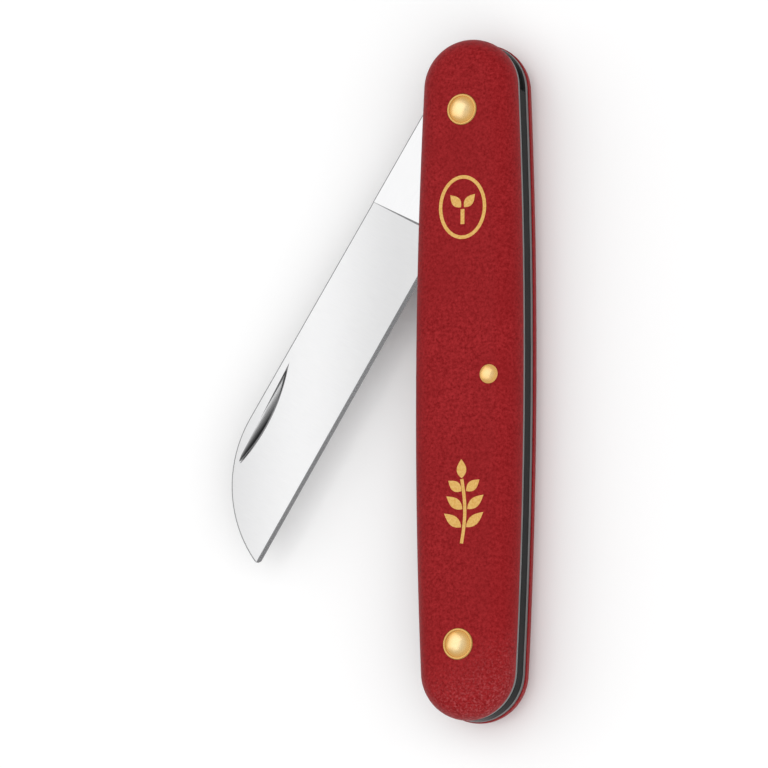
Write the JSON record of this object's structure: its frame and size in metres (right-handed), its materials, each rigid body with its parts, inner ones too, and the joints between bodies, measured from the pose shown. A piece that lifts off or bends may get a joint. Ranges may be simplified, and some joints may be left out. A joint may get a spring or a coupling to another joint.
{
  "type": "folding grafting knife",
  "caption": "Slip-joint grafting knife: a sheepfoot blade with a nail nick folds into a slim handle with rounded red scales, metal liners, a back spring and domed brass rivets.",
  "frame": {"origin": "middle of the handle, on the rear scale's flat outer face", "axes": "+Z through the thickness from the rear scale to the front scale, +Y along the handle to the blade's pivot end, +X to the back spring; the blade folds into the -X side"},
  "size_m": [0.0466, 0.1, 0.013],
  "materials": {
    "red_nylon": "fine matt moulded grain",
    "liner_metal": "brushed flat, dull cut edge",
    "spring_steel": "ground along its back",
    "blade_steel": "satin ground, polished tang",
    "brass": "polished domes with hammer marks"
  },
  "bodies": {
    "handle": {"front_scale": "red_nylon", "rear_scale": "red_nylon", "front_liner": "liner_metal", "rear_liner": "liner_metal", "back_spring": "spring_steel", "pivot_rivet": "brass", "pivot_rosette_front": "brass", "pivot_rosette_rear": "brass", "end_rivet": "brass", "end_rosette_front": "brass", "end_rosette_rear": "brass", "spring_pin": "brass"},
    "blade": {"blade": "blade_steel"}
  },
  "joints": [
    {"name": "blade_pivot", "type": "hinge", "parent": "handle", "child": "blade", "pos_m": [-0.0001, 0.03915, 0.00595], "axis": [0, 0, -1], "range_deg": [-27.1, 148.4]}
  ]
}
